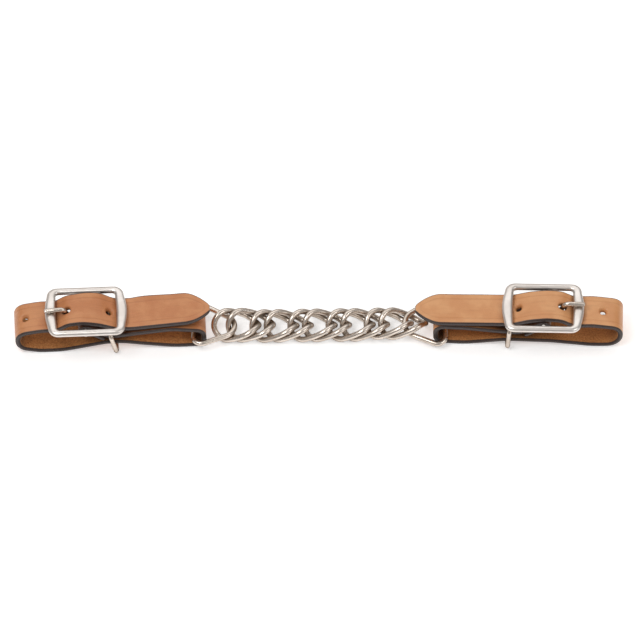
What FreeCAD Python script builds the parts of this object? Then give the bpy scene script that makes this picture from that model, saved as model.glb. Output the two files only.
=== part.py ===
"""Western curb strap: two buckled leather ends joined by a double-link curb chain.

Millimetres, +Z up, +X along the strap. The strap lies at rest on Z = 0, with the origin under its centre.
Every leather end is one folded strap: its tail is riveted back under the buckle, it runs in to the
chain's ring, round the ring and out again to the loop for the bit, and its pointed end (the billet)
comes back through the buckle and over the ring.
"""

import FreeCAD, Part
import math
import os
import Sketcher

Vector = FreeCAD.Vector
Z_AXIS = Vector(0, 0, 1)

SIZES = {
    # leather
    "strap_width": 15.9,
    "strap_thick": 2.1,
    "tip_length": 11.0,
    "tip_flat": 2.4,
    "tip_bulge": 1.5,
    "tip_shoulder": 0.6,
    "hole_diameter": 3.0,
    "worn_hole_length": 5.8,
    "hole_spacing": 17.7,
    "slot_play": 0.35,
    "slot_back": 3.6,
    "slot_ahead": 4.2,
    # buckle
    "frame_length": 34.6,
    "frame_width": 25.2,
    "frame_thick": 2.7,
    "window_length": 25.4,
    "window_width": 20.3,
    "frame_corner": 3.6,
    "frame_bulge": 1.3,
    "frame_side_radius": 14.0,
    "frame_rounding": 0.95,
    "window_corner": 1.6,
    "bar_diameter": 2.4,
    "bar_drop": 4.2,
    "post_diameter": 2.3,
    "post_into_rail": 0.7,
    "tongue_wire": 2.0,
    "tongue_length": 17.6,
    "tongue_rise_start": 6.9,
    "tongue_rise_end": 9.1,
    "tongue_over_frame": 0.1,
    "tongue_eye_open": 35.0,
    "bar_play": 0.1,
    # loose keeper
    "keeper_wire": 1.8,
    "keeper_width": 18.0,
    "keeper_height": 8.9,
    "keeper_corner": 1.9,
    # rivet that holds the tail
    "rivet_shank": 2.0,
    "rivet_head": 3.4,
    "rivet_head_thick": 0.6,
    "rivet_hole": 2.2,
    "rivet_play": 0.08,
    # chain
    "chain_wire": 2.4,
    "link_length": 21.2,
    "link_width": 14.8,
    "link_twist": 96.0,
    "pair_gap": 6.05,
    "pair_pitch": 16.0,
    "pair_count": 5,
    "chain_height": 4.1,
    "chain_yaw": 0.88,
    # triangular rings
    "ring_wire": 2.3,
    "ring_depth": 16.6,
    "ring_half_angle": 28.0,
    "ring_apex_radius": 6.2,
    "ring_bar_radius": 3.4,
}

# How each end lies: outward distances from the middle of the strap, heights over the table.
LEFT = {
    "side": -1,
    "tip": 45.3,
    "bar": 97.9,
    "frame_bottom": 15.8,
    "tongue_hole": 105.7,
    "rest_y": -0.65,
    "yaw": 2.7,
    "keeper": 86.3,
    "keeper_base": 0.1,
    "keeper_lean": -13.0,
    "knee_height": 8.6,
    "layer_two": [(79.0, 9.9, 30.0), (62.0, 12.2, 25.0)],
    "ring_fold": [(48.5, 10.4, 3.6), (48.15, 1.4, 2.3)],
    "layer_three": [(60.5, 1.05, 40.0), (86.0, 5.9, 30.0), (107.5, 1.05, 30.0), (117.0, 1.05, 9.0)],
    "bit_loop": [(126.2, 3.2, 5.0), (126.7, 12.4, 4.6)],
    "billet": [
        (116.0, 14.4, 16.0),
        (110.2, 14.1, 4.0),
        (105.2, 17.9, 6.0),
        (99.5, 18.7, 14.0),
        (92.5, 17.2, 20.0),
        (85.2, 14.0, 10.0),
        (79.0, 13.7, 30.0),
        (55.0, 16.3, 30.0),
        (45.3, 15.8, 0.0),
    ],
    "ring": {"bar": (-51.8, 1.5, 4.35), "yaw": -5.0, "pitch": -1.5, "roll": -4.5},
}
RIGHT = {
    "side": 1,
    "tip": 40.3,
    "bar": 94.5,
    "frame_bottom": 15.1,
    "tongue_hole": 101.9,
    "rest_y": 1.76,
    "yaw": -1.3,
    "keeper": 79.8,
    "keeper_base": 0.1,
    "keeper_lean": -4.0,
    "knee_height": 8.0,
    "layer_two": [(74.0, 9.1, 30.0), (61.0, 10.7, 25.0)],
    "ring_fold": [(49.1, 11.2, 3.4), (49.3, 1.5, 2.5)],
    "layer_three": [(62.0, 1.05, 40.0), (79.0, 3.6, 40.0), (98.0, 3.1, 60.0), (115.0, 1.05, 30.0)],
    "bit_loop": [(126.6, 1.6, 6.0), (126.8, 12.2, 4.2)],
    "billet": [
        (115.0, 13.9, 16.0),
        (106.8, 13.5, 4.0),
        (101.8, 16.7, 6.0),
        (96.0, 17.4, 14.0),
        (89.0, 16.3, 18.0),
        (81.9, 13.8, 10.0),
        (75.0, 13.6, 30.0),
        (58.0, 13.5, 60.0),
        (40.3, 13.4, 0.0),
    ],
    "ring": {"bar": (52.7, 2.75, 5.0), "yaw": 4.5, "pitch": -2.0, "roll": 9.0},
}

WRAP_SLOPE = math.radians(36.0)
RIVET_FROM_BAR = 6.5
TAIL_FROM_BAR = 8.0
TAIL_GAP = 0.2
CHAIN_SHIFT = Vector(0.525, 1.43, 0)
# how far a cutting outline or depth runs past the leather that it cuts
CUT_PAST = 3.0
# the heights that the holes are cut over: under the frame, but clear of the leather round the bar
HOLE_CUT_UNDER_FRAME = 3.4
# the wrap's bend on the tail's side, and at the knee where the leather meets layer three's rise
TAIL_BEND = 2.6
KNEE_BEND = 6.0
# the end links lie over the rings: how far each has rolled about the chain, in degrees, and risen
LINK_ROLL = {1: 10.0, 2: 10.0, 9: -8.0, 10: -6.0}
LINK_RISE = {1: 0.76, 2: 0.76, 9: 0.62, 10: 0.48}

doc = FreeCAD.newDocument("curb_strap")


def make_sheet():
    """The driving dimensions, one aliased cell each."""
    made = doc.addObject("Spreadsheet::Sheet", "sizes")
    for row, (name, number) in enumerate(SIZES.items(), start=1):
        made.set(f"A{row}", name)
        made.set(f"B{row}", str(number))
        made.setAlias(f"B{row}", name)
    doc.recompute()
    return made


sheet = make_sheet()


def size(name):
    """A driving dimension's value, read from the sheet."""
    return float(getattr(sheet, name))


def bind(feature, **expressions):
    """Ties properties to the sheet, such as Length="sizes.strap_width"."""
    for name, expression in expressions.items():
        feature.setExpression(name, expression)


def new_body(label):
    body = doc.addObject("PartDesign::Body", label)
    body.Label = label
    return body


def origin_plane(body, role):
    return next(f for f in body.Origin.OriginFeatures if f.Role == role)


def new_sketch(body, name, role, lift=0.0):
    """A sketch on one of the body's own origin planes, lifted along the plane's normal."""
    sketch = body.newObject("Sketcher::SketchObject", name)
    sketch.AttachmentSupport = [(origin_plane(body, role), "")]
    sketch.MapMode = "FlatFace"
    sketch.AttachmentOffset = FreeCAD.Placement(Vector(0, 0, lift), FreeCAD.Rotation())
    return sketch


def rounded_path(corners, closed=False):
    """Straight runs and tangent arcs through (x, y, radius) corners.

    Gives ("line", start, end) and ("arc", start, end, centre, radius, turn) in order, in the plane Z = 0.
    """
    points = [Vector(x, y, 0) for x, y, _ in corners]
    count = len(points)
    cuts = []
    for i, (_, _, radius) in enumerate(corners):
        here = points[i]
        if not closed and i in (0, count - 1):
            cuts.append((here, here, None, 0.0, 0.0))
            continue
        back = (points[i - 1] - here).normalize()
        ahead = (points[(i + 1) % count] - here).normalize()
        half = back.getAngle(ahead) / 2
        reach = radius / math.tan(half)
        middle = (back + ahead).normalize()
        centre = here + middle * (radius / math.sin(half))
        turn = -1.0 if back.cross(ahead).z > 0 else 1.0
        cuts.append((here + back * reach, here + ahead * reach, centre, radius, turn))
    path = []
    for i in range(count if closed else count - 1):
        after = cuts[(i + 1) % count]
        run = (after[0] - cuts[i][1]).Length
        if run > 1e-6:
            path.append(("line", cuts[i][1], after[0]))
        if after[2] is not None:
            path.append(("arc", *after))
    return path


def arc_between(start, end, centre, radius, turn):
    """The Part.Arc from start to end that turns left (turn = 1) or right (turn = -1) about centre."""
    first = math.atan2(start.y - centre.y, start.x - centre.x)
    last = math.atan2(end.y - centre.y, end.x - centre.x)
    sweep = (last - first) * turn % (2 * math.pi)
    middle = first + turn * sweep / 2
    through = centre + Vector(math.cos(middle), math.sin(middle), 0) * radius
    return Part.Arc(start, through, end)


def path_geometry(path):
    """The path's curves, ready for a sketch."""
    curves = []
    for kind, *values in path:
        if kind == "line":
            curves.append(Part.LineSegment(*values))
        else:
            curves.append(arc_between(*values))
    return curves


def band_geometry(path, thickness):
    """The closed outline of a band of even thickness about an open path."""
    sides = []
    for side in (1.0, -1.0):
        curves = []
        for kind, *values in path:
            if kind == "line":
                start, end = values
                along = (end - start).normalize()
                across = Z_AXIS.cross(along) * (side * thickness / 2)
                curves.append(("line", start + across, end + across))
            else:
                start, end, centre, radius, turn = values
                moved = radius - side * turn * thickness / 2
                grow = moved / radius
                ends = [centre + (p - centre) * grow for p in (start, end)]
                curves.append(("arc", *ends, centre, moved, turn))
        sides.append(curves)
    left, right = sides
    cap_end = ("line", left[-1][2], right[-1][2])
    cap_start = ("line", right[0][1], left[0][1])
    return path_geometry(left + [cap_end] + right + [cap_start])


def group_placement(end):
    """Where one end's leather and buckle lie: yawed a little, about the middle of the end."""
    pivot = Vector(end["side"] * 85.0, 0, 0)
    turn = FreeCAD.Rotation(Z_AXIS, end["yaw"])
    shift = Vector(0, end["rest_y"], 0)
    return FreeCAD.Placement(pivot + shift - turn.multVec(pivot), turn)


def bar_height(end):
    return end["frame_bottom"] + size("frame_thick") / 2 - size("bar_drop")


def wrap_radius():
    """From the bar's middle to the mid-line of the leather wrapped round it."""
    return size("bar_diameter") / 2 + size("bar_play") + size("strap_thick") / 2


def strap_corners(end):
    """The leather's mid-line from its tail to its tip, as (outward, up, radius) corners."""
    thick = size("strap_thick")
    wrap = wrap_radius()
    bar, height = end["bar"], bar_height(end)
    slope = math.tan(WRAP_SLOPE)
    over_bar = height + wrap / math.cos(WRAP_SLOPE)
    knee = bar - (over_bar - end["knee_height"]) / slope
    spacing = (thick + TAIL_GAP) / math.cos(WRAP_SLOPE)
    meet = bar - (over_bar - spacing - (height - wrap)) / slope
    tail = bar - TAIL_FROM_BAR
    corners = [
        (tail, over_bar - spacing - (bar - tail) * slope, 0.0),
        (meet, height - wrap, TAIL_BEND),
        (bar + wrap, height - wrap, wrap),
        (bar + wrap, height + wrap * (1 + math.sin(WRAP_SLOPE)) / math.cos(WRAP_SLOPE), wrap),
        (knee, end["knee_height"], KNEE_BEND),
    ]
    for stretch in ("layer_two", "ring_fold", "layer_three", "bit_loop", "billet"):
        corners += end[stretch]
    return corners


def rivet_frame(end):
    """The rivet's own frame in the end's: on layer two's mid-line, with Z square to the leather."""
    over_bar = bar_height(end) + wrap_radius() / math.cos(WRAP_SLOPE)
    height = over_bar - RIVET_FROM_BAR * math.tan(WRAP_SLOPE)
    square = Vector(-end["side"] * math.sin(WRAP_SLOPE), 0, math.cos(WRAP_SLOPE))
    centre = Vector(end["side"] * (end["bar"] - RIVET_FROM_BAR), 0, height)
    return FreeCAD.Placement(centre, FreeCAD.Rotation(Z_AXIS, square))


def oval(centre, length, width):
    """A closed slot outline with round ends, long in X."""
    half, r = length / 2, width / 2
    # a hair under half the width, so that a short straight run is left between the arcs
    turn = r * 0.999
    corners = [(half, r, turn), (-half, r, turn), (-half, -r, turn), (half, -r, turn)]
    path = rounded_path([(centre.x + x, centre.y + y, radius) for x, y, radius in corners], closed=True)
    return path_geometry(path)


def tip_cutter(body, end, name):
    """A sketch of what is cut away beside the pointed tip: everything outside its two arcs."""
    side = end["side"]
    half = size("strap_width") / 2
    flat = size("tip_flat") / 2
    tip = side * end["tip"]
    shoulder = side * (end["tip"] + size("tip_length"))
    outside = side * (end["tip"] - CUT_PAST)
    edge_past = half + CUT_PAST
    sketch = new_sketch(body, name, "XY_Plane", end["billet"][-1][1] - size("strap_thick"))
    for edge in (1.0, -1.0):
        start = Vector(shoulder, edge * half, 0)
        end_point = Vector(tip, edge * flat, 0)
        swell = Vector(-side * size("tip_shoulder"), edge * size("tip_bulge"), 0)
        middle = (start + end_point) / 2 + swell
        corner = Vector(outside, edge * flat, 0)
        far = Vector(outside, edge * edge_past, 0)
        back = Vector(shoulder, edge * edge_past, 0)
        sketch.addGeometry(Part.Arc(start, middle, end_point), False)
        for a, b in ((end_point, corner), (corner, far), (far, back), (back, start)):
            sketch.addGeometry(Part.LineSegment(a, b), False)
    return sketch


def cut_pocket(body, sketch, name, depth, up=True):
    """A pocket through the stretch of leather above (or below) its sketch; it must remove material."""
    before = body.Tip.Shape.Volume
    pocket = body.newObject("PartDesign::Pocket", name)
    pocket.Profile = sketch
    pocket.Length = depth
    pocket.Reversed = up
    doc.recompute()
    if pocket.Shape.Volume > before - 0.5:
        raise RuntimeError(f"{name} removed nothing")
    return pocket


def make_strap(label, end):
    """One folded leather end, padded across its width, with its tip, holes and tongue slot."""
    side = end["side"]
    body = new_body(label)
    sketch = new_sketch(body, f"{label}_profile", "XZ_Plane")
    corners = [(side * x, z, radius) for x, z, radius in strap_corners(end)]
    outline = band_geometry(rounded_path(corners), size("strap_thick"))
    sketch.addGeometry(outline, False)
    pad = body.newObject("PartDesign::Pad", f"{label}_pad")
    pad.Profile = sketch
    pad.Midplane = True
    bind(pad, Length="sizes.strap_width")
    doc.recompute()
    tip_depth = 2 * size("strap_thick") + CUT_PAST
    cut_pocket(body, tip_cutter(body, end, f"{label}_tip"), f"{label}_tip_cut", tip_depth)
    cut_holes(body, label, end)
    cut_slot(body, label, end)
    cut_rivet_hole(body, label, end)
    body.Placement = group_placement(end)
    return body


def cut_holes(body, label, end):
    """The two round holes of the billet, and between them the worn one that the tongue is in."""
    side = end["side"]
    cut_from = end["frame_bottom"] - HOLE_CUT_UNDER_FRAME
    depth = size("frame_thick") + 2 * CUT_PAST
    holes = new_sketch(body, f"{label}_holes", "XY_Plane", cut_from)
    for step in (-1, 1):
        centre = Vector(side * (end["tongue_hole"] + step * size("hole_spacing")), 0, 0)
        index = holes.addGeometry(Part.Circle(centre, Z_AXIS, size("hole_diameter") / 2), False)
        holes.addConstraint(Sketcher.Constraint("Radius", index, size("hole_diameter") / 2))
        holes.setExpression(f"Constraints[{index}]", "sizes.hole_diameter / 2")
    cut_pocket(body, holes, f"{label}_hole_cut", depth)
    worn = new_sketch(body, f"{label}_worn_hole", "XY_Plane", cut_from)
    centre = Vector(side * end["tongue_hole"], 0, 0)
    worn.addGeometry(oval(centre, size("worn_hole_length"), size("hole_diameter")), False)
    cut_pocket(body, worn, f"{label}_worn_hole_cut", depth)


def cut_slot(body, label, end):
    """The slot that lets the tongue's eye go round the bar."""
    side = end["side"]
    outer_wrap = wrap_radius() + size("strap_thick") / 2
    below = outer_wrap + 0.8
    slot = new_sketch(body, f"{label}_slot", "XY_Plane", bar_height(end) - below)
    half_wide = size("tongue_wire") / 2 + size("slot_play")
    inner = side * (end["bar"] - size("slot_back"))
    outer = side * (end["bar"] + size("slot_ahead"))
    corners = [Vector(inner, -half_wide, 0), Vector(outer, -half_wide, 0)]
    corners += [Vector(outer, half_wide, 0), Vector(inner, half_wide, 0)]
    for i, corner in enumerate(corners):
        slot.addGeometry(Part.LineSegment(corner, corners[(i + 1) % 4]), False)
    cut_pocket(body, slot, f"{label}_slot_cut", below + outer_wrap + 0.05)


def cut_rivet_hole(body, label, end):
    """The rivet's hole through layer two and the tail, square to both."""
    past = 0.5
    thick = size("strap_thick")
    below = FreeCAD.Placement(Vector(0, 0, -1.5 * thick - TAIL_GAP - past), FreeCAD.Rotation())
    rivet = new_sketch(body, f"{label}_rivet", "XY_Plane")
    rivet.AttachmentOffset = rivet_frame(end).multiply(below)
    rivet.addGeometry(Part.Circle(Vector(0, 0, 0), Z_AXIS, size("rivet_hole") / 2), False)
    cut_pocket(body, rivet, f"{label}_rivet_cut", 2 * (thick + past) + TAIL_GAP)


def make_frame(label, end):
    """The cast buckle frame: bulged short sides, a window, and a bar dropped between two posts."""
    body = new_body(label)
    thick = size("frame_thick")
    outer = new_sketch(body, f"{label}_outline", "XY_Plane", -thick / 2)
    outer.addGeometry(frame_outline(), False)
    pad = body.newObject("PartDesign::Pad", f"{label}_pad")
    pad.Profile = outer
    bind(pad, Length="sizes.frame_thick")
    doc.recompute()
    window = new_sketch(body, f"{label}_window", "XY_Plane", -thick / 2)
    window.addGeometry(rounded_rectangle("window_length", "window_width", "window_corner"), False)
    cast = cut_pocket(body, window, f"{label}_window_cut", thick)
    rounding = body.newObject("PartDesign::Fillet", f"{label}_rounding")
    rounding.Base = (cast, horizontal_edges(cast.Shape))
    rounding.Radius = size("frame_rounding")
    doc.recompute()

    drop = size("bar_drop")
    post_radius = size("post_diameter") / 2
    post_y = size("window_width") / 2 - post_radius + size("post_into_rail")
    for sign, name in ((-1, "near"), (1, "far")):
        post = body.newObject("PartDesign::AdditiveCylinder", f"{label}_post_{name}")
        bind(post, Radius="sizes.post_diameter / 2")
        post.Height = drop + size("bar_diameter") / 2 + size("post_into_rail") / 2
        foot = Vector(0, sign * post_y, -drop - size("bar_diameter") / 2)
        post.AttachmentSupport = [(origin_plane(body, "XY_Plane"), "")]
        post.MapMode = "FlatFace"
        post.AttachmentOffset = FreeCAD.Placement(foot, FreeCAD.Rotation())
        doc.recompute()
    bar = body.newObject("PartDesign::AdditiveCylinder", f"{label}_bar")
    bind(bar, Radius="sizes.bar_diameter / 2")
    bar.Height = 2 * post_y
    bar.AttachmentSupport = [(origin_plane(body, "XZ_Plane"), "")]
    bar.MapMode = "FlatFace"
    bar.AttachmentOffset = FreeCAD.Placement(Vector(0, -drop, -post_y), FreeCAD.Rotation())
    doc.recompute()
    centre = Vector(end["side"] * end["bar"], 0, end["frame_bottom"] + thick / 2)
    body.Placement = group_placement(end).multiply(FreeCAD.Placement(centre, FreeCAD.Rotation()))
    return body


def frame_outline():
    """The frame's outer outline: straight rails, and short sides that bulge outward between corners."""
    x, y, r = size("frame_length") / 2, size("frame_width") / 2, size("frame_corner")
    bulge = size("frame_bulge")
    corners = []
    for sx, sy in ((1, 1), (-1, 1), (-1, -1), (1, -1)):
        # where the side's flat middle turns towards the corner
        first = (sx * (x - bulge / 4), sy * y * 0.45, size("frame_side_radius"))
        corner = (sx * (x - bulge), sy * y, r)
        corners += [first, corner] if sx == sy else [corner, first]
    return path_geometry(rounded_path(corners, closed=True))


def rounded_rectangle(length_name, width_name, corner_name):
    """A closed rounded outline about the sketch's origin, from three driving dimensions."""
    x, y, r = size(length_name) / 2, size(width_name) / 2, size(corner_name)
    corners = [(x, y, r), (-x, y, r), (-x, -y, r), (x, -y, r)]
    return path_geometry(rounded_path(corners, closed=True))


def horizontal_edges(shape):
    """The names of the edges that lie in the top and bottom faces."""
    names = []
    for number, edge in enumerate(shape.Edges, start=1):
        if edge.BoundBox.ZLength < 0.01:
            names.append(f"Edge{number}")
    return names


def swept_wire(label, spine, wire_name):
    """A round wire along a spine: a Part::Sweep of a circle whose radius is bound to the sheet."""
    path = doc.addObject("Part::Feature", f"{label}_spine")
    path.Shape = spine
    edge = spine.OrderedEdges[0]
    start = edge.valueAt(edge.FirstParameter)
    along = edge.tangentAt(edge.FirstParameter)
    if edge.Orientation == "Reversed":
        start = edge.valueAt(edge.LastParameter)
        along = edge.tangentAt(edge.LastParameter) * -1
    section = doc.addObject("Part::Circle", f"{label}_section")
    bind(section, Radius=f"sizes.{wire_name} / 2")
    section.Placement = FreeCAD.Placement(start, FreeCAD.Rotation(Z_AXIS, along))
    sweep = doc.addObject("Part::Sweep", label)
    sweep.Label = label
    sweep.Sections = [section]
    sweep.Spine = (path, [f"Edge{n}" for n in range(1, len(spine.Edges) + 1)])
    sweep.Solid = True
    sweep.Frenet = False
    doc.recompute()
    return sweep


def biarc(start, start_along, end, end_along):
    """Two arcs, tangent to each other, from start to end with the given unit directions."""
    chord = end - start
    total = start_along + end_along
    a = 2 * (1 - start_along.dot(end_along))
    b = 2 * chord.dot(total)
    c = -chord.dot(chord)
    if abs(a) < 1e-9:
        reach = -c / b
    else:
        reach = (-b + math.sqrt(b * b - 4 * a * c)) / (2 * a)
    middle = (start + start_along * reach + end - end_along * reach) / 2
    onward = end - end_along * reach - middle
    return [tangent_arc(start, start_along, middle), tangent_arc(middle, onward, end)]


def tangent_arc(start, along, end):
    """The arc (or line) that leaves start along a direction and reaches end."""
    along = Vector(along).normalize()
    chord = end - start
    across = chord - along * chord.dot(along)
    if across.Length < 1e-6:
        return Part.LineSegment(start, end).toShape()
    across.normalize()
    radius = chord.dot(chord) / (2 * chord.dot(across))
    centre = start + across * radius
    half = (start + end) / 2 - centre
    return Part.Arc(start, centre + half.normalize() * radius, end).toShape()


def link_point(distance):
    """A point of the link's mid-line, and its direction, at a distance along the flat oval."""
    radius = (size("link_width") - size("chain_wire")) / 2
    straight = size("link_length") - size("chain_wire") - 2 * radius
    quarter = math.pi * radius

    def place(s):
        if s < straight:
            x, across = -straight / 2 + s, radius
        elif s < straight + quarter:
            angle = (s - straight) / radius
            x, across = straight / 2 + radius * math.sin(angle), radius * math.cos(angle)
        elif s < 2 * straight + quarter:
            x, across = straight / 2 - (s - straight - quarter), -radius
        else:
            angle = (s - 2 * straight - quarter) / radius
            x, across = -straight / 2 - radius * math.sin(angle), -radius * math.cos(angle)
        twist = -math.radians(size("link_twist") / 2) * x / (straight / 2 + radius)
        return Vector(x, across * math.cos(twist), across * math.sin(twist))

    round_trip = 2 * straight + 2 * quarter
    here = place(distance % round_trip)
    ahead = place((distance + 0.002) % round_trip)
    behind = place((distance - 0.002) % round_trip)
    return here, (ahead - behind).normalize()


def half_link_spine():
    """Half of a twisted curb link's mid-line, from one end of the oval to the other, as tangent arcs."""
    radius = (size("link_width") - size("chain_wire")) / 2
    straight = size("link_length") - size("chain_wire") - 2 * radius
    quarter = math.pi * radius / 2
    start = -quarter
    stations = [start + quarter * step / 3 for step in range(3)]
    stations += [0.0, straight / 2, straight]
    stations += [straight + quarter * step / 3 for step in range(1, 4)]
    edges = []
    for begin, finish in zip(stations, stations[1:]):
        edges += biarc(*link_point(begin), *link_point(finish))
    return Part.Wire(edges)


def make_link(label):
    """One link: two swept halves that are half a turn about X apart."""
    halves = [swept_wire(f"{label}_{half}", half_link_spine(), "chain_wire") for half in ("a", "b")]
    halves[1].Placement = FreeCAD.Placement(Vector(0, 0, 0), FreeCAD.Rotation(Vector(1, 0, 0), 180))
    link = doc.addObject("Part::Fuse", label)
    link.Label = label
    link.Base, link.Tool = halves
    link.Refine = True
    doc.recompute()
    return link


def make_chain():
    """Ten identical links in five nested pairs; each link hooks the one two places on."""
    links = []
    slope = math.tan(math.radians(size("chain_yaw")))
    first = -(size("pair_pitch") * (size("pair_count") - 1) + size("pair_gap")) / 2
    for pair in range(int(size("pair_count"))):
        for second in (0, 1):
            number = 2 * pair + second + 1
            label = f"chain_link_{number:02d}"
            link = make_link(label)
            x = first + pair * size("pair_pitch") + second * size("pair_gap") + CHAIN_SHIFT.x
            height = size("chain_height") + LINK_RISE.get(number, 0.0)
            place = Vector(x, CHAIN_SHIFT.y + slope * x, height)
            turn = FreeCAD.Rotation(size("chain_yaw"), 0.0, LINK_ROLL.get(number, 0.0))
            link.Placement = FreeCAD.Placement(place, turn)
            links.append(link)
    return links


def make_ring(label, end):
    """A triangular ring: its bar lies along Y in the leather's fold, its rounded apex in the chain."""
    side = -end["side"]
    half_angle = math.radians(size("ring_half_angle"))
    apex_radius, bar_radius = size("ring_apex_radius"), size("ring_bar_radius")
    reach = size("ring_depth") + apex_radius * (1 / math.sin(half_angle) - 1)
    half_bar = reach * math.tan(half_angle)
    corners = [
        (0.0, -half_bar, bar_radius),
        (side * reach, 0.0, apex_radius),
        (0.0, half_bar, bar_radius),
    ]
    if side < 0:
        corners.reverse()
    edges = [curve.toShape() for curve in path_geometry(rounded_path(corners, closed=True))]
    ring = swept_wire(label, Part.Wire(edges), "ring_wire")
    lie = end["ring"]
    turn = FreeCAD.Rotation(lie["yaw"], lie["pitch"], lie["roll"])
    ring.Placement = FreeCAD.Placement(Vector(*lie["bar"]), turn)
    return ring


def make_tongue(label, end):
    """The tongue: a wire eye round the bar and a blade, up through the billet and over the outer bar."""
    side = end["side"]
    eye = size("bar_diameter") / 2 + size("bar_play") + size("tongue_wire") / 2
    wire = size("tongue_wire")
    over_frame = size("frame_thick") / 2 + size("bar_drop") + wire / 2 + size("tongue_over_frame")
    start_angle = -math.radians(size("tongue_eye_open"))
    corners = [
        (0.0, eye, 0.0),
        (size("tongue_rise_start"), eye, 0.9 * wire),
        (size("tongue_rise_end"), over_frame, 1.1 * wire),
        (size("tongue_length"), over_frame, 0.0),
    ]
    path = rounded_path([(side * x, z, radius) for x, z, radius in corners])
    eye_start = Vector(side * eye * math.cos(start_angle), eye * math.sin(start_angle), 0)
    eye_middle = Vector(-side * eye * math.cos(start_angle / 2), eye * math.sin(start_angle / 2), 0)
    edges = [Part.Arc(eye_start, eye_middle, Vector(0, eye, 0)).toShape()]
    edges += [curve.toShape() for curve in path_geometry(path)]
    spine = Part.Wire(edges)
    upright = FreeCAD.Rotation(Vector(1, 0, 0), 90)
    spine.Placement = FreeCAD.Placement(Vector(0, 0, 0), upright)
    tongue = swept_wire(label, spine, "tongue_wire")
    centre = Vector(side * end["bar"], 0, bar_height(end))
    tongue.Placement = group_placement(end).multiply(FreeCAD.Placement(centre, FreeCAD.Rotation()))
    return tongue


def make_keeper(label, end):
    """The loose wire keeper round layers two and three, leaning a little along the strap."""
    wire = size("keeper_wire")
    half_wide = (size("keeper_width") + wire) / 2
    half_high = (size("keeper_height") + wire) / 2
    turn = size("keeper_corner")
    corners = [
        (half_wide, -half_high, turn),
        (half_wide, half_high, turn),
        (-half_wide, half_high, turn),
        (-half_wide, -half_high, turn),
    ]
    edges = [curve.toShape() for curve in path_geometry(rounded_path(corners, closed=True))]
    keeper = swept_wire(label, Part.Wire(edges), "keeper_wire")
    height = end["keeper_base"] + wire / 2 + half_high
    centre = Vector(end["side"] * end["keeper"], 0, height)
    across = FreeCAD.Rotation(Vector(0, 1, 0), -end["side"] * end["keeper_lean"])
    upright = FreeCAD.Rotation(Vector(0, 1, 0), Vector(0, 0, 1), Vector(1, 0, 0), "ZXY")
    lean = FreeCAD.Placement(centre, across.multiply(upright))
    keeper.Placement = group_placement(end).multiply(lean)
    return keeper


def make_rivet(label, end):
    """The tubular rivet that holds the tail to layer two: a turned shank with two low heads."""
    body = new_body(label)
    shank, head = size("rivet_shank") / 2, size("rivet_head") / 2
    top = size("strap_thick") / 2 + size("rivet_play")
    bottom = -size("strap_thick") * 1.5 - TAIL_GAP - size("rivet_play")
    rise = size("rivet_head_thick")
    sketch = new_sketch(body, f"{label}_profile", "XZ_Plane")
    outline = [
        (0.0, bottom - rise),
        (head * 0.7, bottom - rise),
        (head, bottom - rise * 0.4),
        (head, bottom),
        (shank, bottom),
        (shank, top),
        (head, top),
        (head, top + rise * 0.4),
        (head * 0.7, top + rise),
        (0.0, top + rise),
    ]
    points = [Vector(x, z, 0) for x, z in outline]
    for i, point in enumerate(points):
        sketch.addGeometry(Part.LineSegment(point, points[(i + 1) % len(points)]), False)
    turned = body.newObject("PartDesign::Revolution", f"{label}_turned")
    turned.Profile = sketch
    turned.ReferenceAxis = (sketch, ["V_Axis"])
    turned.Angle = 360
    doc.recompute()
    body.Placement = group_placement(end).multiply(rivet_frame(end))
    return body


def make_end(name, end):
    """The six pieces of one leather end."""
    return [
        make_strap(f"{name}_strap", end),
        make_frame(f"{name}_buckle_frame", end),
        make_tongue(f"{name}_buckle_tongue", end),
        make_keeper(f"{name}_keeper", end),
        make_rivet(f"{name}_fold_rivet", end),
        make_ring(f"{name}_ring", end),
    ]


def check(pieces):
    """Every object must have recomputed, and every piece must be one valid solid."""
    doc.recompute()
    for thing in doc.Objects:
        if {"Invalid", "Error"} & set(thing.State):
            raise RuntimeError(f"{thing.Name} failed: {thing.State}")
    for piece in pieces:
        shape = piece.Shape
        if shape.isNull() or not shape.isValid() or len(shape.Solids) != 1:
            raise RuntimeError(f"{piece.Label} isn't one valid solid")
        box = shape.BoundBox
        print(f"{piece.Label}: {shape.Volume:.1f} mm3, X {box.XMin:.2f} to {box.XMax:.2f},"
              f" Y {box.YMin:.2f} to {box.YMax:.2f}, Z {box.ZMin:.2f} to {box.ZMax:.2f}")


pieces = make_end("left", LEFT) + make_end("right", RIGHT) + make_chain()
check(pieces)
os.makedirs("parts", exist_ok=True)
for piece in pieces:
    piece.Shape.exportStep(f"parts/{piece.Label}.step")
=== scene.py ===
"""A western curb strap's looks: leather ends, buckles, rings and chain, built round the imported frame.

Sizes are in millimetres and turned into metres where a mesh is made. +X runs along the strap, +Z is up.
"""
import math

import bmesh
import bpy
from mathutils import Euler, Matrix, Vector, noise


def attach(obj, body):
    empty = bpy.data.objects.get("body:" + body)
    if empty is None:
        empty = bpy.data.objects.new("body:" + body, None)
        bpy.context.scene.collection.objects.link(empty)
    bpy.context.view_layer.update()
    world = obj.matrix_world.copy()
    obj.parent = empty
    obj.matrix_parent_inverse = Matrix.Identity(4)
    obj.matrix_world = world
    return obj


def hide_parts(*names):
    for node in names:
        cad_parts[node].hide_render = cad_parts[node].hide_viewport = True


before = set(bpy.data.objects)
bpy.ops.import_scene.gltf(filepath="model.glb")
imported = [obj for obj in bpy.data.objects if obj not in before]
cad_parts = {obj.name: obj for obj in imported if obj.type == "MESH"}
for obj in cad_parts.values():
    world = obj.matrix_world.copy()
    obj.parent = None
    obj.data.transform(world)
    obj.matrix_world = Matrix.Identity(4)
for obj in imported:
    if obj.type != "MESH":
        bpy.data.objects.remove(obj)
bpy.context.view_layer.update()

MM = 0.001

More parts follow.
